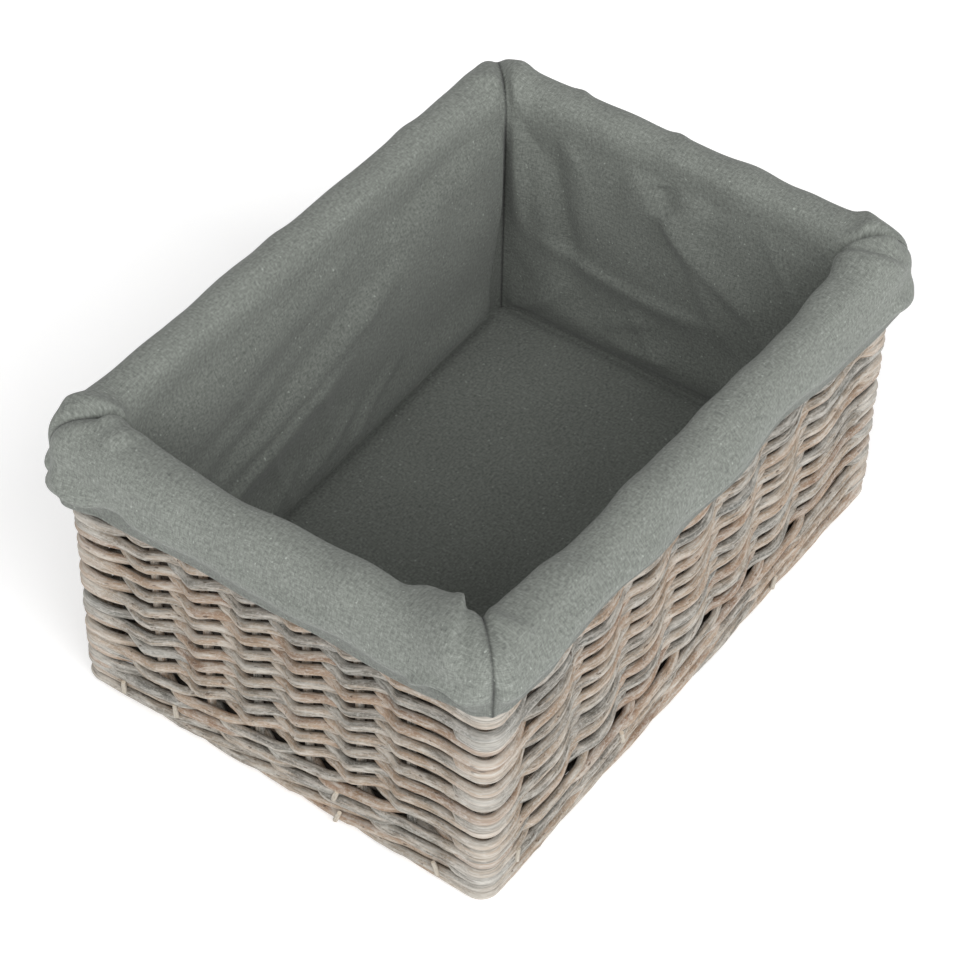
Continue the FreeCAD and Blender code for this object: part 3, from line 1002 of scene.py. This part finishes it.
# Creases in the walls, seen from inside: for each side, start and end as (place along the side, height),
# widths to the left and right of the line, height towards the inside and bow.
WALL_FOLDS = (
    (
        ((-150, 60), (20, 150), 16, 8, 3.0, 8),
        ((150, 50), (40, 170), 10, 18, 3.0, -6),
    ),
    (
        ((124, 214), (112, 110), 9, 7, 4.0, 0),
        ((116, 214), (70, 100), 12, 9, -5.0, -8),
        ((36, 186), (-30, 182), 20, 20, 4.5, 0),
        ((6, 196), (0, 180), 10, 12, -6.5, 0),
        ((4, 180), (-75, 128), 7, 13, 4.0, 4),
        ((-4, 172), (-48, 96), 6, 10, 3.0, -5),
        ((95, 112), (-35, 104), 9, 5, 3.2, 5),
        ((126, 36), (72, 84), 6, 9, 3.5, 4),
        ((40, 66), (4, 84), 5, 7, 2.2, 0),
        ((34, 52), (-12, 58), 5, 6, 2.0, 2),
        ((-60, 60), (-118, 120), 9, 14, 4.0, 6),
    ),
    (
        ((188, 58), (-10, 122), 14, 5, 5.0, -7),
        ((186, 92), (-80, 172), 10, 12, -4.5, -6),
        ((160, 132), (-130, 196), 10, 11, -3.6, -4),
        ((120, 110), (-60, 150), 7, 9, 2.4, 5),
        ((40, 50), (-22, 76), 5, 7, 2.4, 2),
        ((-8, 44), (-64, 82), 5, 7, 2.4, -2),
        ((90, 40), (40, 70), 6, 6, 2.0, 0),
    ),
    (
        ((-110, 70), (10, 130), 9, 14, 3.5, 5),
        ((100, 60), (20, 180), 12, 9, 3.0, 5),
    ),
)

# Folds over the rim and cuff: start and end as (place along the side, length of cloth past the shoulder),
# and the rest as for the walls.
CUFF_FOLDS = (
    (
        ((-206, 4), (-190, 40), 8, 5, 3.0, 0),
        ((196, 4), (214, 34), 10, 3, 6.0, 4),
        ((178, 6), (206, 52), 12, 4, 4.5, 5),
        ((190, 62), (222, 82), 6, 5, 3.0, 2),
        ((-150, 50), (-60, 66), 9, 5, 1.8, 2),
        ((-40, 62), (60, 48), 8, 6, 1.6, -3),
    ),
    (
        ((-140, 10), (-120, 44), 10, 5, 4.0, 4),
        ((-60, 40), (70, 66), 9, 6, 2.0, 3),
        ((120, 8), (138, 40), 7, 6, 3.0, 0),
    ),
    (
        ((-206, 8), (-184, 30), 8, 4, 4.0, 0),
        ((-60, 60), (80, 44), 9, 6, 2.0, 3),
        ((190, 8), (204, 44), 9, 5, 4.0, 2),
    ),
    (
        ((102, 0), (140, 50), 16, 2.6, 9.0, -3),
        ((150, 4), (154, 30), 4, 4, 3.0, 0),
        ((-142, 10), (-112, 30), 5, 12, 5.0, 3),
        ((-150, 62), (-118, 76), 6, 8, 4.5, 2),
        ((-130, 84), (-96, 70), 7, 5, -2.5, 0),
        ((-100, 44), (10, 64), 10, 5, 2.2, 3),
        ((20, 66), (112, 56), 9, 6, 2.0, -3),
        ((110, 74), (131, 60), 4, 4, 3.2, -3),
        ((131, 60), (150, 73), 4, 4, 3.2, -3),
        ((120, 72), (142, 72), 3, 5, -2.4, 0),
    ),
)


def wall_lift(side, run, high, up, chance):
    """How far a wall's cloth stands in from the basket: bellied between its corners, tucked under along
    the floor, with creases."""
    half = (HALF_LENGTH, HALF_WIDTH)[side % 2]
    away = half - np.abs(run)
    free = smooth_step((away - 4 * MM) / (60 * MM))
    lift = free * (6 * MM * np.exp(-(((high - 0.13) / 0.11) ** 2)) + 8 * MM * np.sin(math.pi * high**1.3))
    lift *= smooth_step(high / 0.07)
    ripple = waves(run, up, chance, 5, 0.07, 0.16, 0.9, 0.5)
    small = waves(run, up, chance, 5, 0.026, 0.055, 1.1, 0.7)
    sharp = creases(run, up, chance, 3, 0.07, 0.15, 0.9, 0.6)
    inner = free * smooth_step(high / 0.2) * smooth_step((1 - high) / 0.1)
    lift += inner * (0.8 * ripple + 0.3 * small + 1.6 * sharp) * MM
    edge = smooth_step(away / (14 * MM)) * smooth_step(high / 0.08) * smooth_step((1.02 - high) / 0.06)
    for start, end, left, right, height, bow in WALL_FOLDS[side]:
        lift += edge * fold(run, up, start, end, left, right, height, bow)
    if side == SIDE_NAMES.index("back"):
        # past a slanting line near its far corner, the cloth stands off the wall
        line = (-0.97 + 0.16 * (1 - high)) * half
        beyond = smooth_step((run - line) / (8 * MM)) * smooth_step((half * 0.9 - run) / (60 * MM))
        lift += 5 * MM * beyond * smooth_step(high / 0.1) * smooth_step((1 - high) / 0.15)
    return np.maximum(lift, -0.3 * MM)


def make_panel(side, material):
    """One liner panel: wall, rim and cuff cut in one, with its folds and ripples."""
    half = (HALF_LENGTH, HALF_WIDTH)[side % 2]
    columns = 2 * round((half + CUFF_OUT) / GRID) + 1
    u = np.linspace(-1, 1, columns)
    points, run, along, length, high = panel_points(side, u)
    normal = surface_normals(points)
    chance = Chance(400 + side)
    past = length - WALL_LENGTH
    down = length[-1] - length
    away = np.abs(run).max(axis=1)[:, None] - np.abs(run)
    on_wall = smooth_step((WALL_LENGTH + 8 * MM - length) / (24 * MM))
    on_rim = np.exp(-(((past - 22 * MM) / (20 * MM)) ** 2))
    on_cuff = smooth_step((past - 40 * MM) / (16 * MM))

    lift = on_wall * wall_lift(side, along, high, points[:, :, 2], chance)
    lift += on_rim * 0.9 * MM * (1.3 + waves(run, past * 0, chance, 5, 0.04, 0.12, math.pi / 2, 0.2))
    ripple = 1 + waves(run, length, chance, 5, 0.06, 0.14, 1.3, 0.4)
    lift += on_cuff * smooth_step(away / (20 * MM)) * 1.3 * MM * ripple
    outside = smooth_step((past - 18 * MM) / (14 * MM)) * smooth_step((down - HEM_BAND) / (6 * MM))
    lift += outside * 1.5 * MM * creases(run, length, chance, 3, 0.09, 0.2, 1.1, 0.5)
    billow = 1 + 0.35 * waves(run, down, chance, 4, 0.05, 0.12, 1.4, 0.3)
    lift += on_cuff * 3.4 * MM * billow * np.exp(-(((down - HEM_BAND - 5 * MM) / (8 * MM)) ** 2))
    lift -= on_cuff * 1.4 * MM * smooth_step((HEM_BAND + MM - down) / (3 * MM))
    lift -= on_cuff * 1.3 * MM * smooth_step((HEM_BAND - down) / HEM_BAND)
    beyond = smooth_step(past / (6 * MM))
    for start, end, left, right, height, bow in CUFF_FOLDS[side]:
        lift += beyond * fold(along, past, start, end, left, right, height, bow)
    humps = 1 + 1.5 * on_rim
    lift += humps * MM * np.exp(-(((away - 8 * MM) / (7 * MM)) ** 2))
    lift = lift * (1 - np.exp(-((away / (3 * MM)) ** 2)))
    points = points + normal * lift[:, :, None]

    # Painted shade: a thin dark line at each corner seam, a darker hem band where the cloth turns under, a
    # dark crease line above it, and darker cloth on the inner walls.
    shade = 1 - 0.45 * np.exp(-((away / (0.9 * MM)) ** 2))
    shade -= 0.25 * smooth_step((HEM_BAND - down) / (3 * MM))
    shade -= 0.14 * np.exp(-(((down - HEM_BAND) / (1.8 * MM)) ** 2))
    shade -= 0.21 * on_wall
    return grid_piece("liner_panel_" + SIDE_NAMES[side], points, run, length, shade, material, side)


def grid_piece(name, points, u, v, shade, material, key):
    """A piece of cloth from a grid of points, with each point's place on the flat cloth and its shade."""
    rows, columns = points.shape[:2]
    index = np.arange(rows * columns).reshape(rows, columns)
    corners = [index[:-1, :-1], index[:-1, 1:], index[1:, 1:], index[1:, :-1]]
    quads = np.stack(corners, axis=2).reshape(-1, 4)
    mesh = bpy.data.meshes.new(name)
    mesh.from_pydata(points.reshape(-1, 3).tolist(), [], quads.tolist())
    mesh.polygons.foreach_set("use_smooth", np.ones(len(quads), bool))
    cloth = mesh.attributes.new("cloth", "FLOAT_VECTOR", "POINT")
    values = np.stack([u, v, np.full_like(u, float(key))], axis=2)
    cloth.data.foreach_set("vector", values.astype(np.float32).ravel())
    dark = mesh.attributes.new("shade", "FLOAT", "POINT")
    dark.data.foreach_set("value", shade.astype(np.float32).ravel())
    mesh.materials.append(material)
    piece = bpy.data.objects.new(name, mesh)
    bpy.context.scene.collection.objects.link(piece)
    thick = piece.modifiers.new("cloth", "SOLIDIFY")
    thick.thickness = CLOTH
    thick.offset = 1
    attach(piece, "liner")
    return piece


def make_liner(material):
    """Four panels and a floor, each a sheet of cloth."""
    for side, name in enumerate(SIDE_NAMES):
        piece = make_panel(side, material)
        kinds = ("liner_wall_", "liner_rim_", "liner_cuff_")
        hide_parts(*(kind + name for kind in kinds), "liner_cuff_corner_" + CORNER_NAMES[side])

    low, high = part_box("liner_floor")
    x = np.linspace(low.x, high.x, round((high.x - low.x) / GRID) + 1)
    y = np.linspace(low.y, high.y, round((high.y - low.y) / GRID) + 1)
    x, y = np.meshgrid(x, y)
    chance = Chance(500)
    edge = np.minimum(high.x - np.abs(x), high.y - np.abs(y))
    height = floor_height(x) + 0.5 * MM * waves(x, y, chance, 6, 0.08, 0.2, 0.6, 1.5)
    height -= 0.6 * MM * np.exp(-(((edge - 6 * MM) / (2.5 * MM)) ** 2))
    # Painted shade: the floor cloth is darker all over, and darker still along the seam line near its edge.
    shade = 0.82 - 0.14 * np.exp(-(((edge - 6 * MM) / (1.2 * MM)) ** 2))
    piece = grid_piece("liner_base", np.stack([x, y, height], axis=2), x, y, shade, material, 9)
    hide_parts("liner_floor")


make_camera()
make_studio()
weave_material = willow("willow_weave")
upright_material = willow("willow_upright")
make_walls(weave_material)
make_uprights(upright_material)
make_base(weave_material, upright_material)
make_liner(linen("liner_linen"))
